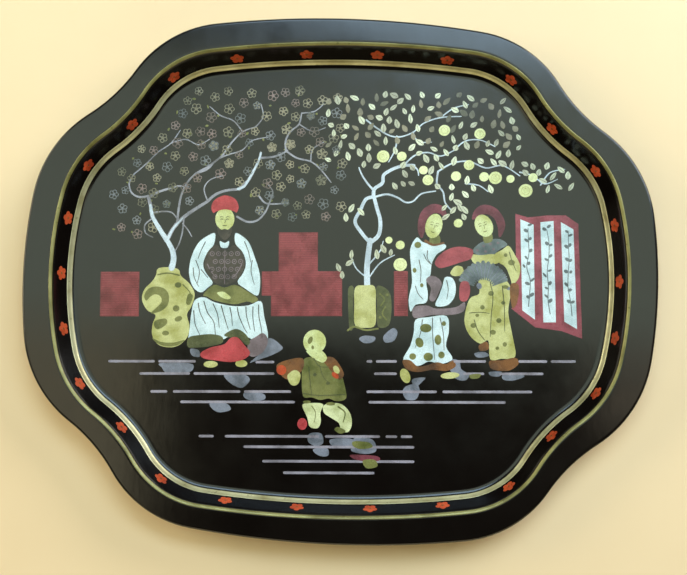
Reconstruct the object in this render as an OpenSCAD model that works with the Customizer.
// Oval serving tray with four notched corners, pressed from one sheet of tinplate.
// The sheet is black enamelled, its edge is curled under, and a garden scene, a border
// of rosettes and two gold lines are printed on it before pressing.
// Origin: middle of the tray, on the surface that it stands on. +X along the length,
// +Y towards the top of the picture, +Z up. Millimetres.

/* [Tray] */
// Length over the curled edge
tray_length = 330; // [290:1:400]
// Width over the curled edge
tray_width = 274; // [235:1:330]
// Height from the table to the top of the flange
tray_height = 16.5; // [13:0.5:24]

/* [Sheet] */
// Thickness of the tinplate
sheet_t = 0.35; // [0.25:0.01:0.5]
// Thickness of the black enamel
enamel_t = 0.06; // [0.04:0.01:0.1]
// Thickness of one printed colour
ink_t = 0.08; // [0.05:0.01:0.12]

/* [Outer edge] */
// Outer diameter of the curl
curl_d = 3; // [2.4:0.1:3.8]
// How far round the curl turns, in degrees
curl_sweep = 250; // [180:5:285]
// Radius of the long sides' bow
long_bow_r = 514; // [420:1:640]
// Radius of the short sides' bow
short_bow_r = 266; // [210:1:330]
// Radius of the shoulder between a long side and a corner
long_shoulder_r = 59; // [48:1:72]
// Radius of the shoulder between a short side and a corner
short_shoulder_r = 64; // [52:1:78]
// Radius of the hollow in each corner
notch_r = 89; // [74:1:106]
// Centre of the hollow beyond the end of the tray
notch_out_x = 21.5; // [18:0.5:26]
// Centre of the hollow beyond the side of the tray
notch_out_y = 17; // [14:0.5:20.5]

/* [Well] */
// Width of the flange at the short ends
flange_end = 13.3; // [11:0.1:16]
// Width of the flange along the long sides
flange_side = 12.2; // [10:0.1:15]
// Radius of the well's long bow
well_long_bow_r = 553; // [460:1:680]
// Radius of the well's short bow
well_short_bow_r = 192; // [160:1:230]
// Radius of the well's shoulder next to a long side
well_long_shoulder_r = 50; // [41:1:60]
// Radius of the well's shoulder next to a short side
well_short_shoulder_r = 56; // [46:1:68]
// Radius of the hollow in each corner of the well
well_notch_r = 82; // [68:1:98]
// Centre of the well's hollow beyond the end of the well
well_notch_out_x = 23.5; // [19.5:0.5:28]
// Centre of the well's hollow beyond the side of the well
well_notch_out_y = 15; // [12.5:0.5:18]
// How far the pressed well is turned on the sheet, anticlockwise
well_turn = 1.4; // [-2:0.1:2]
// Slope of the wall, in degrees from level
wall_angle = 70; // [60:1:80]
// Radius over the lip, at the top of the wall
lip_r = 3.2; // [2.4:0.1:4]
// Radius inside the foot of the wall
foot_r = 4.5; // [3.5:0.1:5.5]

/* [Border print] */
// Width of the upper gold line, seen from above
gold_upper_w = 1.6; // [1:0.1:2]
// Width of the lower gold line, seen from above
gold_lower_w = 3.8; // [2.6:0.1:4.2]
// Share of the lower gold line that lies on the bend, the rest being on the wall
gold_lower_bend = 0.7; // [0.6:0.05:0.8]
// Number of rosettes round the wall
rosette_count = 26; // [20:2:32]
// Diameter of a rosette, across its petals
rosette_d = 7.4; // [5:0.1:8.5]
// Petals of a rosette
rosette_petals = 5; // [4:1:6]
// How much closer the rosettes stand near the short ends, as a share of a quarter
rosette_crowd = 0.04; // [0:0.01:0.08]

/* [Picture] */
// How far the picture is turned on the tray, anticlockwise
print_turn = 2.4; // [-3:0.1:3]
// Size of the picture, as a share of what fits the tray
print_scale = 1; // [0.8:0.01:1]
// Least blank line left between a leaf and a fruit or a blossom
key_line = 0.4; // [0.2:0.1:0.8]
// Diameter of a blossom
blossom_d = 6.6; // [4.5:0.1:8]
// Petals of a blossom
blossom_petals = 5; // [4:1:6]
// Distance between blossoms
blossom_pitch = 9.6; // [9:0.1:13]
// Length of a leaf
leaf_l = 4.6; // [3.5:0.1:5.6]
// Distance between leaves
leaf_pitch = 8.2; // [7.5:0.1:11]
// Radius of a fruit
fruit_r = 3.5; // [2.6:0.1:4.2]
// Thickness of the terrace lines
terrace_w = 1.5; // [1:0.1:2]

/* [Hidden] */

ink_black = [0.08, 0.08, 0.07];
ink_gold = [0.55, 0.50, 0.26];
ink_orange = [0.72, 0.24, 0.12];
ink_red = [0.68, 0.20, 0.22];
ink_dark_red = [0.45, 0.13, 0.17];
ink_brown = [0.38, 0.26, 0.17];
ink_dark = [0.28, 0.25, 0.22];
ink_lilac = [0.60, 0.57, 0.63];
ink_white = [0.78, 0.86, 0.88];
ink_cream = [0.86, 0.87, 0.62];
ink_yellow = [0.76, 0.75, 0.45];
ink_olive = [0.42, 0.42, 0.20];
ink_grey = [0.42, 0.49, 0.50];
ink_pink = [0.62, 0.55, 0.52];
tin_grey = [0.62, 0.62, 0.60];

// Smoothness: steps along each arc of an outline, and round each bend of the sheet
arc_steps = 6;
foot_steps = 4;
lip_steps = 3;
curl_steps = 6;
arc_fn = 180;
half_turn = 180;
quarter_turn = 90;

// Heights of the tin's upper face
floor_z = sheet_t;
flange_z = tray_height - enamel_t;
curl_r = curl_d / 2;
tin_curl_r = curl_r - enamel_t;

// The wall between its two radii, measured inwards from the edge of the flange
bend_r = lip_r + foot_r;
wall_run_l = (flange_z - floor_z - bend_r * (1 - cos(wall_angle))) / sin(wall_angle);
foot_end = bend_r * sin(wall_angle) + wall_run_l * cos(wall_angle);
wall_out = [sin(wall_angle), cos(wall_angle)];
wall_top = [0, flange_z - lip_r] + lip_r * wall_out;
wall_foot = [foot_end, floor_z + foot_r] - foot_r * wall_out;
wall_mid = (wall_top + wall_foot) / 2;
// The upper gold line's middle, halfway over the lip as seen from above
gold_upper_at = lip_r * sin(wall_angle) / 2;

// An outline is [half length, half width, long bow, short bow, long shoulder,
// short shoulder, corner hollow, centre of the hollow x, y]
outer = [tray_length / 2, tray_width / 2, long_bow_r, short_bow_r, long_shoulder_r,
    short_shoulder_r, notch_r, tray_length / 2 + notch_out_x,
    tray_width / 2 + notch_out_y];
well_half_l = tray_length / 2 - flange_end;
well_half_w = tray_width / 2 - flange_side;
well = [well_half_l, well_half_w, well_long_bow_r, well_short_bow_r,
    well_long_shoulder_r, well_short_shoulder_r, well_notch_r,
    well_half_l + well_notch_out_x, well_half_w + well_notch_out_y];

function bearing(from, to) = atan2(to[1] - from[1], to[0] - from[0]);
function polar(r, a) = [r * cos(a), r * sin(a)];
// The two points at distance rp from p and rq from q
function meet(p, rp, q, rq, side) =
    let (v = q - p, d = norm(v), x = (rp * rp - rq * rq + d * d) / (2 * d),
        h = sqrt(rp * rp - x * x), u = v / d, w = [-u[1], u[0]])
    p + u * x + w * h * side;

// The arcs of one quarter, from the short side's middle to the long side's middle:
// [centre, radius, first bearing, last bearing, +1 bulging out or -1 hollow]
function quarter_arcs(o) =
    let (long_c = [0, o[1] - o[2]], short_c = [o[0] - o[3], 0], hollow = [o[7], o[8]],
        long_s = meet(long_c, o[2] - o[4], hollow, o[6] + o[4], 1),
        short_s = meet(short_c, o[3] - o[5], hollow, o[6] + o[5], -1))
    [[short_c, o[3], 0, bearing(short_c, short_s), 1],
        [short_s, o[5], bearing(short_c, short_s), bearing(short_s, hollow), 1],
        [hollow, o[6], full(bearing(hollow, long_s)), full(bearing(hollow, short_s)), -1],
        [long_s, o[4], bearing(long_s, hollow), bearing(long_c, long_s), 1],
        [long_c, o[2], bearing(long_c, long_s), quarter_turn, 1]];
function full(a) = a < 0 ? a + 2 * half_turn : a;

// A station of an outline: [place, outward direction]
function arc_station(arc, a) = [arc[0] + polar(arc[1], a), polar(arc[4], a)];
// Bearing of the share t of an arc, going anticlockwise round the tray
function arc_at(arc, t) = arc[4] > 0 ? arc[2] + (arc[3] - arc[2]) * t
    : arc[3] - (arc[3] - arc[2]) * t;
function flipped(station, x, y) = [for (v = station) [x * v[0], y * v[1]]];
function turned(v, a) = [v[0] * cos(a) - v[1] * sin(a), v[0] * sin(a) + v[1] * cos(a)];

// Every station of a whole outline, anticlockwise from the middle of the +X end
function stations(o, turn) =
    let (quarter = concat([for (arc = quarter_arcs(o), k = [0 : arc_steps - 1])
            arc_station(arc, arc_at(arc, k / arc_steps))],
            [[[0, o[1]], [0, 1]]]),
        n = len(quarter) - 1,
        whole = concat([for (k = [0 : n - 1]) quarter[k]],
            [for (k = [n : -1 : 1]) flipped(quarter[k], -1, 1)],
            [for (k = [0 : n - 1]) flipped(quarter[k], -1, -1)],
            [for (k = [n : -1 : 1]) flipped(quarter[k], 1, -1)]))
    [for (station = whole) [for (v = station) turned(v, turn)]];
outer_stations = stations(outer, 0);
well_stations = stations(well, well_turn);

// The ring of points at p = [distance inside an outline, height]
function ring(list, p) =
    [for (station = list) [station[0][0] - station[1][0] * p[0],
        station[0][1] - station[1][1] * p[0], p[1]]];

// Points of the cross-section for a surface lifted above the tin's upper face.
// The foot and the lip go round the well, from the floor up.
function bend(middle, r, from, to, steps) =
    [for (k = [0 : steps]) middle + polar(r, from + (to - from) * k / steps)];
function foot_points(lift) = bend([foot_end, floor_z + foot_r], foot_r - lift,
    3 * quarter_turn, 3 * quarter_turn - wall_angle, foot_steps);
function lip_points(lift) = bend([0, flange_z - lip_r], lip_r + lift,
    quarter_turn - wall_angle, quarter_turn, lip_steps);
// The curl goes round the outside, from the flange over and under
function curl_points(lift, sweep, steps) = bend([curl_r, flange_z - tin_curl_r],
    tin_curl_r + lift, quarter_turn, quarter_turn + sweep, steps);
function face_rings(lift, sweep, steps) = concat(
    [for (p = concat(foot_points(lift), lip_points(lift))) ring(well_stations, p)],
    [for (p = curl_points(lift, sweep, steps)) ring(outer_stations, p)]);
function backwards(list) = [for (k = [len(list) - 1 : -1 : 0]) list[k]];

// A closed skin through rings of equal length. The last ring joins the first, except in
// a dish, where each of the two is closed over the middle of the floor.
module skin(rings, dish) {
    n = len(rings[0]);
    m = len(rings);
    points = concat([for (r = rings, p = r) p],
        [[0, 0, rings[0][0][2]], [0, 0, rings[m - 1][0][2]]]);
    walls = [for (i = [0 : m - (dish ? 2 : 1)], j = [0 : n - 1])
        [i * n + j, (i + 1) % m * n + j, (i + 1) % m * n + (j + 1) % n,
            i * n + (j + 1) % n]];
    lids = dish ? concat([for (j = [0 : n - 1]) [m * n, j, (j + 1) % n]],
        [for (j = [0 : n - 1]) [m * n + 1, (m - 1) * n + (j + 1) % n, (m - 1) * n + j]])
        : [];
    polyhedron(dish ? points : [for (k = [0 : m * n - 1]) points[k]],
        concat(walls, lids));
}

// One layer over the pressing, from lo to hi above the tin's upper face
module pressed_layer(lo, hi, sweep, steps) {
    skin(concat(face_rings(hi, sweep, steps), backwards(face_rings(lo, sweep, steps))),
        true);
}

module tin_pan() {
    color(tin_grey) pressed_layer(-sheet_t, 0, curl_sweep, curl_steps);
}

module black_enamel() {
    color(ink_black) pressed_layer(0, enamel_t, half_turn, ceil(curl_steps / 2));
}

// ---- Border print, on the wall ----

// A line printed round the well, through the given cross-section at each height
module border_line(lower, upper) {
    skin([for (p = concat(upper, backwards(lower))) ring(well_stations, p)], false);
}

module gold_line_upper() {
    middle = [0, flange_z - lip_r];
    from = asin((gold_upper_at + gold_upper_w / 2) / lip_r);
    to = asin((gold_upper_at - gold_upper_w / 2) / lip_r);
    color(ink_gold)
        border_line(
            bend(middle, lip_r + enamel_t, quarter_turn - from, quarter_turn - to, 1),
            bend(middle, lip_r + enamel_t + ink_t, quarter_turn - from,
                quarter_turn - to, 1));
}

module gold_line_lower() {
    middle = [foot_end, floor_z + foot_r];
    turn = gold_lower_w * gold_lower_bend / foot_r * half_turn / PI;
    from = 3 * quarter_turn - wall_angle + turn;
    rise = gold_lower_w * (1 - gold_lower_bend) * [-wall_out[1], wall_out[0]];
    function band(lift) = concat(
        bend(middle, foot_r - lift, from, 3 * quarter_turn - wall_angle, 2),
        [wall_foot + lift * wall_out + rise]);
    color(ink_gold) border_line(band(enamel_t), band(enamel_t + ink_t));
}

// Length of an arc along the middle of the wall, and the sum of the first n of them
function arc_l(arc) =
    (arc[1] - arc[4] * wall_mid[0]) * (arc[3] - arc[2]) * PI / half_turn;
function run_l(arcs, n) = n <= 0 ? 0 : arc_l(arcs[n - 1]) + run_l(arcs, n - 1);
well_arcs = quarter_arcs(well);
quarter_l = run_l(well_arcs, len(well_arcs));

// Place of rosette k along the wall: evenly spread, then drawn towards the short ends
function rosette_place(k) =
    let (t = 4 * k / rosette_count, share = t - floor(t),
        to_end = floor(t) % 2 == 0 ? -1 : 1)
    quarter_l * (t + to_end * rosette_crowd * sin(half_turn * share));

// The station a distance s along the wall, for any s from the middle of the +X end
function quarter_station(s) =
    let (n = len([for (m = [1 : len(well_arcs) - 1]) if (run_l(well_arcs, m) <= s) m]),
        arc = well_arcs[n])
    arc_station(arc, arc_at(arc, (s - run_l(well_arcs, n)) / arc_l(arc)));
function wall_station(s) =
    let (q = floor(s / quarter_l), rest = s - q * quarter_l,
        near = quarter_station(q % 2 == 0 ? rest : quarter_l - rest),
        flip_x = q % 4 == 0 || q % 4 == 3 ? 1 : -1, flip_y = q % 4 < 2 ? 1 : -1)
    [for (v = flipped(near, flip_x, flip_y)) turned(v, well_turn)];
// A point of the wall print: s along the wall, up from its middle, lifted off the tin
function wall_point(s, up, lift) =
    ring([wall_station(s)], wall_mid + up * [-wall_out[1], wall_out[0]]
        + lift * wall_out)[0];

// Point k of a flower's outline: its petals make the radius swell by the ripple
function flower_point(d, petals, ripple, k) =
    let (a = k * 2 * half_turn / flower_points)
    polar(d / 2 * (1 - ripple + ripple * cos(petals * a)), a);
flower_points = 15;
rosette_ripple = 0.2;
blossom_ripple = 0.18;

module rosette(s) {
    n = flower_points;
    function layer(lift) = concat([wall_point(s, 0, lift)],
        [for (k = [0 : n - 1])
            let (p = flower_point(rosette_d, rosette_petals, rosette_ripple, k))
            wall_point(s - p[1], p[0], lift)]);
    polyhedron(concat(layer(enamel_t), layer(enamel_t + ink_t)),
        concat([for (k = [0 : n - 1]) [0, 1 + k, 1 + (k + 1) % n]],
            [for (k = [0 : n - 1]) [n + 1, n + 2 + (k + 1) % n, n + 2 + k]],
            [for (k = [0 : n - 1]) [1 + k, n + 2 + k, n + 2 + (k + 1) % n,
                1 + (k + 1) % n]]));
}

// A whole turn is added so that no point lies before the start
module border_rosettes() {
    color(ink_orange)
        for (k = [0 : rosette_count - 1])
            rosette(rosette_place(k) + 4 * quarter_l);
}

// ---- The picture, on the floor of the well ----

// The picture is drawn for a tray of this length and width, with a floor that reaches this
// far towards its corner hollows, and is scaled to fit another
drawn_l = 330;
drawn_w = 274;
drawn_corner = 130.8;
floor_corner = norm([well[7], well[8]]) - well_notch_r - foot_end;
print_fit = min(tray_length / drawn_l, tray_width / drawn_w, floor_corner / drawn_corner);

// A flat print: layer 0 lies on the enamel, layer 1 lies on another colour
module print(layer) {
    translate([0, 0, floor_z + enamel_t + layer * ink_t])
        rotate(print_turn)
            linear_extrude(ink_t)
                scale(print_scale * print_fit) children();
}

// An oval as an outline of n points
function oval_edge(size, n) = [for (k = [0 : n - 1])
    [size[0] / 2 * cos(k * 2 * half_turn / n), size[1] / 2 * sin(k * 2 * half_turn / n)]];
oval_points = 16;
module oval(at, size, tilt) {
    translate(at) rotate(tilt) polygon(oval_edge(size, oval_points));
}

// A tapering ribbon along a list of points
function bisector(p, k) =
    let (a = p[max(k - 1, 0)], b = p[min(k + 1, len(p) - 1)], d = b - a)
    [-d[1], d[0]] / norm(d);
function ribbon(p, w0, w1) =
    let (n = len(p) - 1, w = [for (k = [0 : n]) (w0 + (w1 - w0) * k / n) / 2])
    concat([for (k = [0 : n]) p[k] + bisector(p, k) * w[k]],
        [for (k = [n : -1 : 0]) p[k] - bisector(p, k) * w[k]]);

module garden_wall() {
    color(ink_dark_red)
        print(0) {
            polygon([[-128, -20], [-107, -20], [-107, 4], [-128, 4]]);
            polygon([[-36, -20], [2, -20], [2, 4], [-11, 4], [-11, 25], [-32, 25],
                [-32, 4], [-41, 4], [-41, -9], [-36, -9]]);
            polygon([[30, -20], [37, -20], [37, 4], [30, 4]]);
        }
}

// A terrace line from x0 to x1 at height y
module terrace_line(x0, x1, y) {
    translate([x0, y - terrace_w / 2]) square([x1 - x0, terrace_w]);
}

module terrace_lines_left() {
    color(ink_lilac)
        print(0) {
            terrace_line(-123, -98, -44);
            terrace_line(-96, -76, -44);
            terrace_line(-44, -34, -44);
            terrace_line(-106, -34, -50.5);
            terrace_line(-100, -91, -60);
            terrace_line(-88, -25, -60);
            terrace_line(-84, -23, -65.5);
        }
}

module terrace_lines_right() {
    color(ink_lilac)
        print(0) {
            terrace_line(15, 18, -44);
            terrace_line(20, 31, -44);
            terrace_line(63, 78, -44);
            terrace_line(95, 110, -44);
            terrace_line(114, 125, -44);
            terrace_line(19, 31, -50.5);
            terrace_line(66, 108, -50.5);
            terrace_line(15, 102, -60);
            terrace_line(16, 88, -65.5);
        }
}

module terrace_lines_front() {
    color(ink_lilac)
        print(0) {
            terrace_line(-74, -66, -83.5);
            terrace_line(-60, 22, -83.5);
            terrace_line(25, 31, -83.5);
            terrace_line(33, 39, -83.5);
            terrace_line(-50, 40, -89);
            terrace_line(-40, 40, -96.5);
            terrace_line(-29, 19, -102.5);
        }
}

module blossom_urn() {
    color(ink_yellow)
        print(0)
            polygon([[-97, 5], [-86, 5], [-84, 1], [-79, -3], [-77, -9], [-79, -17],
                [-81, -25], [-81, -30], [-85, -35], [-90, -36], [-96, -35], [-99, -29],
                [-99, -24], [-103, -17], [-105, -9], [-103, -4], [-99, -1]]);
}

module blossom_urn_spots() {
    color(ink_olive)
        print(1) {
            oval([-98, -8], [11, 5], 25);
            for (at = [[-86, -3], [-82, -11], [-87, -16], [-86, -22], [-95, -24], [-91, -29]])
                oval(at, [3.2, 2.8], 0);
        }
}

// Each tree's branches, as [start width, end width, points]
blossom_limbs = [
    [3, 1.8, [[-90, 6], [-89, 14], [-92, 22]]],
    [1.8, 1.2, [[-92, 22], [-99, 33], [-102, 44], [-95, 48], [-88, 51]]],
    [1.8, 1, [[-92, 22], [-86, 33], [-71, 42.5], [-64, 47], [-53, 49], [-42.5, 65]]],
    [1.2, 0.8, [[-86, 33], [-86, 45], [-80, 57], [-71, 61]]],
    [1, 0.7, [[-43, 65], [-30, 68], [-25, 81], [-20, 88]]],
    [1, 0.7, [[-30, 68], [-20, 65], [-12, 62], [-3, 52]]],
    [1.1, 0.8, [[-53, 33], [-46, 31], [-39, 35], [-37, 42], [-43, 46]]],
    [0.9, 0.7, [[-71, 62], [-60, 68], [-57, 77], [-47, 82]]],
    [0.9, 0.7, [[-102, 44], [-109, 44], [-113, 54]]],
    [0.8, 0.6, [[-113, 57], [-104, 66], [-92, 73], [-84, 84]]]];
fruit_limbs = [
    [2.8, 2.2, [[16, -3], [15.5, 8], [17, 21]]],
    [1.8, 1.4, [[16.5, 20], [8.5, 31], [15, 43], [18.5, 45]]],
    [2, 1.5, [[17.5, 20], [22.5, 26], [21.5, 36], [18.5, 45]]],
    [1.8, 1, [[18.5, 45], [19, 49], [24, 56], [31, 60], [40, 61]]],
    [1, 0.7, [[19, 49], [15, 52], [11, 58]]],
    [1, 0.7, [[20, 45], [29, 45], [39, 40.5]]],
    [0.9, 0.6, [[39, 42], [46, 47], [53, 48]]],
    [1, 0.7, [[53, 58], [53, 51], [57, 45], [59, 38]]],
    [0.9, 0.6, [[16, 84], [22, 79], [31, 77], [40, 78], [50, 85], [66, 88]]],
    [0.9, 0.6, [[31, 77], [31, 70], [28, 61]]],
    [0.9, 0.6, [[53, 58], [66, 62], [83, 61], [97, 53], [104, 56]]],
    [0.8, 0.6, [[108, 51], [115, 57], [122, 59]]],
    [0.8, 0.6, [[16, 0], [10, 7], [7, 12]]],
    [0.8, 0.6, [[18.5, 1], [26, 11], [33, 13]]]];
fruit_places = [[57, 80], [76, 78], [84, 54], [100, 47], [24, 66], [48, 53], [70, 61],
    [33, 7.5]];
// Middle and half sizes of each tree's crown, and the height that it stops at
blossom_crown = [-52, 72, 66, 29, 50];
fruit_crown = [59, 74, 66, 28, 48];
scatter_seed = 7;
row_share = sqrt(3) / 2;
least_gap = 0.9;
blossom_twist = 37;
leaf_twist = 53;
leaf_points = 10;
leaf_width = 0.5;

// Places on a staggered grid with a little seeded scatter, kept inside a crown
function in_crown(p, crown) = p[1] > crown[4]
    && pow((p[0] - crown[0]) / crown[2], 2) + pow((p[1] - crown[1]) / crown[3], 2) < 1;
function crown_places(crown, pitch, slack) =
    let (cols = ceil(crown[2] / pitch), rows = ceil(crown[3] / pitch / row_share),
        nudge = rands(-slack / 2, slack / 2, 2 * (2 * cols + 1) * (2 * rows + 1),
            scatter_seed))
    [for (i = [-cols : cols], j = [-rows : rows])
        let (k = 2 * ((i + cols) * (2 * rows + 1) + j + rows),
            p = [crown[0] + (i + (j % 2 == 0 ? 0 : 0.5)) * pitch + nudge[k],
                crown[1] + j * pitch * row_share + nudge[k + 1]])
        if (in_crown(p, crown)) p];
// Whether a drawn point lies on the flat floor, at least a gap away from the foot of the wall
function on_floor(p, gap) =
    let (a = bearing([0, 0], p) + print_turn - well_turn,
        r = norm(p) * print_scale * print_fit,
        q = [abs(r * cos(a)), abs(r * sin(a))], edge = foot_end + gap)
    norm(q - [0, well_half_w - well_long_bow_r]) < well_long_bow_r - edge
    && norm(q - [well_half_l - well_short_bow_r, 0]) < well_short_bow_r - edge
    && norm(q - [well[7], well[8]]) > well_notch_r + edge;
blossom_places = [for (p = crown_places(blossom_crown, blossom_pitch,
        max(blossom_pitch - blossom_d - least_gap, 0)))
    if (on_floor(p, blossom_d)) p];
function clear_of(p, places, gap) = min([for (q = places) norm(p - q)]) > gap;
low_leaves = [[0, 6], [8, 14], [22, 16], [27, 22], [34, 19]];
leaf_places = [for (p = concat(crown_places(fruit_crown, leaf_pitch,
        max(leaf_pitch - leaf_l - least_gap, 0) / 2), low_leaves))
    if (on_floor(p, leaf_l) && clear_of(p, fruit_places, fruit_r + leaf_l / 2 + key_line)
        && clear_of(p, blossom_places, blossom_d / 2 + leaf_l / 2 + key_line)) p];

module limbs(list) {
    for (limb = list) polygon(ribbon(limb[2], limb[0], limb[1]));
}

// Round petals drawn as one outline
module blossom_shape() {
    polygon([for (k = [0 : flower_points - 1])
        flower_point(blossom_d, blossom_petals, blossom_ripple, k)]);
}

module blossom_heads() {
    for (k = [0 : len(blossom_places) - 1])
        translate(blossom_places[k]) rotate(blossom_twist * k) blossom_shape();
}

module leaf_heads() {
    for (k = [0 : len(leaf_places) - 1])
        translate(leaf_places[k])
            rotate(leaf_twist * k)
                polygon(oval_edge([leaf_l, leaf_l * leaf_width], leaf_points));
}

module fruit_heads() {
    for (at = fruit_places) translate(at) circle(fruit_r, $fn = arc_fn);
}

module blossom_branches() {
    color(ink_lilac)
        print(0)
            difference() {
                limbs(blossom_limbs);
                blossom_heads();
            }
}

module blossoms() {
    color(ink_pink) print(0) blossom_heads();
}

module fruit_branches() {
    color(ink_white)
        print(0)
            difference() {
                limbs(fruit_limbs);
                leaf_heads();
                fruit_heads();
            }
}

module fruit_leaves() {
    color(ink_cream) print(0) leaf_heads();
}

module fruits() {
    color(ink_yellow) print(0) fruit_heads();
}

module fruit_pot() {
    color(ink_yellow)
        print(0)
            polygon([[9, -4.5], [13, -3.5], [19, -4], [19.5, -14], [19.5, -25], [14, -26],
                [9, -24.5], [8.5, -14]]);
}

module fruit_pot_shade() {
    color(ink_olive)
        print(0) {
            polygon([[5.5, -5], [8, -5], [7.6, -14], [8, -25], [14, -27], [20, -26],
                [20.5, -27], [14, -29], [6, -27], [6, -14]]);
            polygon([[20.2, -4], [27, -5], [28, -14], [27, -25], [23, -27], [20.2, -24]]);
        }
}

module elder_cap() {
    color(ink_red)
        print(0)
            polygon([[-69, 36], [-69, 39.5], [-66, 43.5], [-61, 45.2], [-56, 43.5],
                [-53, 39.5], [-53, 36], [-56.5, 38], [-61, 38.6], [-65.5, 38]]);
}

module elder_face() {
    color(ink_cream) print(0) oval([-61, 32.6], [10, 11], 0);
}

module elder_beard() {
    color(ink_brown)
        print(0)
            polygon([[-66, 28], [-63.5, 26.4], [-61, 26], [-58.5, 26.4], [-56, 28],
                [-57, 23.5], [-61, 19.5], [-65, 23.5]]);
}

module elder_robe() {
    color(ink_white)
        print(0) {
            polygon([[-67, 24], [-70, 23.5], [-75, 20], [-79, 12], [-80, 3], [-77, -5],
                [-73, -7], [-67.5, -3], [-71.5, 3], [-73, 8], [-71.5, 15], [-67, 19]]);
            polygon([[-55, 24], [-52, 23.5], [-48, 20], [-45, 12], [-42, 3], [-42.5, -7],
                [-44, -9], [-50, -5], [-54.5, -2], [-51, 3], [-49.5, 8], [-50.5, 15],
                [-55, 19]]);
            polygon([[-77, -11], [-72, -9.5], [-66, -12.5], [-56, -14.5], [-48, -14],
                [-41, -12], [-39.5, -20], [-37, -33], [-40, -36], [-47, -32],
                [-55, -29.5], [-62, -33], [-70, -35], [-80, -36], [-79, -26]]);
        }
}

module elder_chest_panel() {
    color(ink_dark)
        print(0)
            polygon([[-66, 18], [-61, 18.8], [-56, 18], [-51.5, 14], [-50.5, 8],
                [-52, 3], [-55.5, -2], [-61, -3.5], [-66.5, -2], [-70.5, 3],
                [-72, 8], [-70.5, 14]]);
}

module elder_lap() {
    color(ink_olive)
        print(0)
            polygon([[-72, -8], [-66.5, -3.2], [-61, -4.5], [-55.5, -3.2], [-50, -6],
                [-43.5, -10.5], [-48, -13], [-56, -13.5], [-66, -11.5]]);
}

module elder_hem() {
    color(ink_red)
        print(0)
            polygon([[-73, -38], [-66, -36], [-60, -34.2], [-55, -31], [-50, -34],
                [-47, -39], [-52, -43], [-60, -44], [-68, -43], [-73, -41]]);
}

module elder_shoes() {
    color(ink_yellow)
        print(0) {
            oval([-68, -45.6], [7.5, 3.6], 0);
            oval([-52, -45.4], [6.5, 3.6], 0);
        }
}

module child_head() {
    color(ink_cream) print(0) oval([-13, -33.5], [12, 12.6], 0);
}

module child_tuft() {
    color(ink_olive) print(1) oval([-14.6, -32.6], [2.6, 4], -20);
}

module child_robe() {
    color(ink_olive)
        print(0)
            polygon([[-18, -43], [-13, -41.5], [-8, -44], [-2, -47], [1, -50], [3.5, -57],
                [4, -63.5], [-3, -64.5], [-10, -63.5], [-18.5, -62], [-19, -52]]);
}

module child_sleeves() {
    color(ink_brown)
        print(0) {
            polygon([[-20, -42.5], [-27, -43.5], [-32, -46], [-31, -50], [-26, -54],
                [-20, -52]]);
            polygon([[-9, -41], [-3, -42], [1, -46], [2.5, -50], [0, -48.5], [-4, -45.5]]);
        }
}

module child_trousers() {
    color(ink_cream)
        print(0) {
            polygon([[-19, -66], [-8, -66], [-9, -72], [-9.5, -79], [-14, -79.5],
                [-17, -73]]);
            polygon([[-7, -66], [2, -66.5], [6, -72], [7, -80], [2, -81], [-1, -76],
                [-7, -73]]);
        }
}

module child_toy() {
    color(ink_red) print(0) oval([-19, -77], [4.6, 5.4], 0);
}

module left_lady_cap() {
    color(ink_dark_red)
        print(0)
            polygon([[43, 31], [43.5, 36], [47, 39.5], [53, 39.5], [57.5, 36], [57.5, 33],
                [54, 34.8], [50.5, 35], [47, 33.5], [45, 30], [44, 26]]);
}

module left_lady_face() {
    color(ink_cream) print(0) oval([51, 28], [9, 12.4], -12);
}

module left_lady_robe() {
    color(ink_white)
        print(0) {
            polygon([[42, 21.5], [45, 19.5], [50, 18], [56.5, 17.5], [52, 12], [50, 7],
                [49, 1], [47.5, -4], [49, -9], [46.5, -13], [40.5, -14], [38.5, -17],
                [38, -9], [39, 0], [38.5, 14]]);
            polygon([[55, -0.5], [60, 0], [62.5, -4], [61.5, -11], [57, -14.5],
                [51.5, -14.5], [53.5, -8]]);
            polygon([[41.5, -22], [48, -20.5], [57, -20], [58.5, -28], [57, -36],
                [60, -43], [50, -46], [41, -46.5], [34, -43], [38.5, -34]]);
        }
}

module left_lady_sprigs() {
    color(ink_olive)
        print(1) {
            oval([41.5, 18], [3.4, 3], 30);
            oval([46, -26.5], [6.5, 4.5], 0);
            oval([52.5, -33], [3.6, 5], 0);
            oval([42.5, -34.5], [4.5, 5], 20);
            oval([46.5, -42], [5, 4.4], 0);
            oval([38.5, -42], [3, 3.6], 0);
        }
}

module left_lady_sash() {
    color(ink_brown)
        print(0) {
            polygon([[40, -15], [47, -14], [50, -15.5], [62, -15.5], [66, -13], [66, -18],
                [58, -19.4], [48, -19.8], [40, -21]]);
            polygon([[33, -44.5], [41, -47.2], [50, -47], [60.5, -44], [61, -48],
                [48, -50.5], [34, -48]]);
        }
}

module left_lady_shoes() {
    color(ink_yellow)
        print(0) {
            oval([35, -52], [4.6, 7], 20);
            oval([58, -51], [9, 3.6], 5);
        }
}

module right_lady_cap() {
    color(ink_dark_red)
        print(0)
            polygon([[71.5, 33], [72.5, 37], [77, 39.5], [82, 39], [86, 35.5], [88.5, 29],
                [87, 25], [84.5, 29], [82.5, 33], [78, 34.8]]);
}

module right_lady_face() {
    color(ink_cream) print(0) oval([77.5, 28.4], [9.4, 11.6], 20);
}

// The fan hides the robe's upper edge
module right_lady_shape() {
    polygon([[84, 12], [88, 15.5], [91.5, 16.5], [94, 11], [97, 5], [95, -1],
        [91.5, 0], [89.5, 6]]);
    polygon([[74, -1], [82, 1], [88, -1], [91, -6], [90, -18], [92, -30],
        [93, -41], [80, -43], [79, -32], [74, -35], [68, -29], [67, -20],
        [70, -11], [75, -8]]);
}

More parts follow.
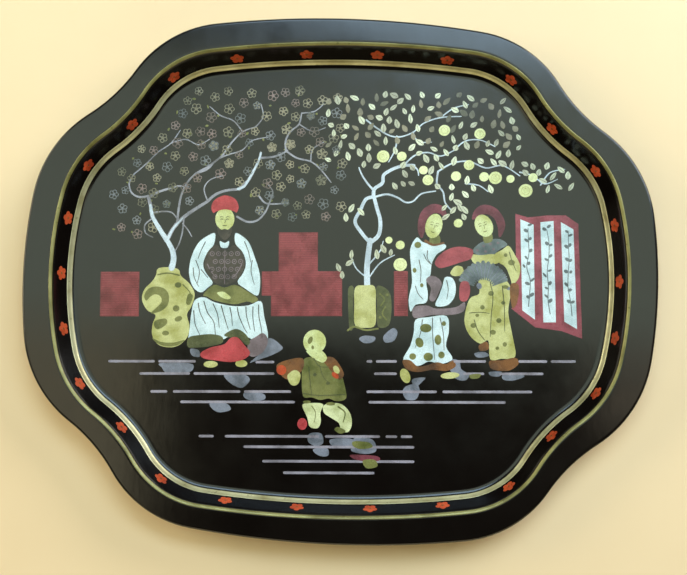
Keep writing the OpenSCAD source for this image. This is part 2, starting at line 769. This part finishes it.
module right_lady_robe() {
    color(ink_yellow)
        print(0)
            difference() {
                right_lady_shape();
                polygon(fan_sector);
            }
}

module right_lady_sprigs() {
    color(ink_olive)
        print(1) {
            for (at = [[81, -8], [77, -15], [85, -22.5], [72, -25], [82, -28.5], [88, -35]])
                oval(at, [3, 2.8], 0);
            oval([91, 8.5], [3.4, 3], 0);
        }
}

module right_lady_hem() {
    color(ink_orange)
        print(0) {
            polygon([[80, -43.8], [93, -41.8], [94.5, -45], [88, -48.5], [80, -48]]);
            polygon([[74, -35.8], [78.4, -33], [79, -38], [75, -38]]);
            polygon([[63, -2], [69.5, -3], [69.5, -11], [64, -12]]);
        }
}

module red_shawl() {
    color(ink_red)
        print(0)
            polygon([[51.5, 8], [53, 12], [59, 16], [65, 17], [72, 15], [70.5, 9.5],
                [63, 8.5], [58, 6], [53, 5.5]]);
}

// A fan of separate blades, each wider at its outer end
fan_hand = [76.5, -6];
fan_blades = 11;
fan_first = 30;
fan_step = 12;
fan_inner = 6;
fan_outer = 14.5;
// The whole fan, a little beyond its blades at each end
fan_sector = concat(
    [for (k = [0 : fan_blades]) fan_hand
        + polar(fan_inner - key_line, fan_first + fan_step * (k - 0.5))],
    [for (k = [fan_blades : -1 : 0]) fan_hand
        + polar(fan_outer + key_line, fan_first + fan_step * (k - 0.5))]);
module striped_fan() {
    color(ink_grey)
        print(0)
            for (k = [0 : fan_blades - 1]) {
                a = fan_first + fan_step * k;
                polygon(ribbon([fan_hand + polar(fan_inner, a),
                    fan_hand + polar(fan_outer, a)], 0.9, 2.2));
            }
}

// The folding screen: three leaves seen at a slant
screen_outline = [[94.5, 34.5], [101, 32.5], [111, 33.5], [121, 33.5], [127.5, 29],
    [128.5, -32], [118, -28], [104, -26], [91.5, -16], [94.5, -14]];
screen_leaves = [[[97, 31.5], [104, 28.5], [104, -22], [97.5, -17]],
    [[107.5, 30], [114.5, 30.5], [115, -23.5], [108.5, -23.5]],
    [[118.5, 30], [125, 26], [126, -27], [119.5, -23]]];

module screen_frame() {
    color(ink_red)
        print(0)
            difference() {
                polygon(screen_outline);
                for (leaf = screen_leaves) polygon(leaf);
                right_lady_shape();
            }
}

module screen_panels() {
    color(ink_white) print(0) for (leaf = screen_leaves) polygon(leaf);
}

module screen_sprigs() {
    color(ink_olive)
        print(1) {
            for (at = [[100.5, 26], [101.5, 9], [101.5, -6], [102, -15]])
                oval(at, [3.4, 5], 20);
            for (at = [[111, 17], [111.5, 4]]) oval(at, [4.4, 4.6], 0);
            for (at = [[121, 23], [121.8, 14], [122.5, -20]]) oval(at, [3.4, 5.4], -20);
        }
}

tin_pan();
black_enamel();
gold_line_upper();
gold_line_lower();
border_rosettes();
garden_wall();
terrace_lines_left();
terrace_lines_right();
terrace_lines_front();
blossom_urn();
blossom_urn_spots();
blossom_branches();
blossoms();
fruit_pot();
fruit_pot_shade();
fruit_branches();
fruit_leaves();
fruits();
elder_cap();
elder_face();
elder_beard();
elder_robe();
elder_chest_panel();
elder_lap();
elder_hem();
elder_shoes();
child_head();
child_tuft();
child_robe();
child_sleeves();
child_trousers();
child_toy();
left_lady_cap();
left_lady_face();
left_lady_robe();
left_lady_sprigs();
left_lady_sash();
left_lady_shoes();
right_lady_cap();
right_lady_face();
right_lady_robe();
right_lady_sprigs();
right_lady_hem();
red_shawl();
striped_fan();
screen_frame();
screen_panels();
screen_sprigs();
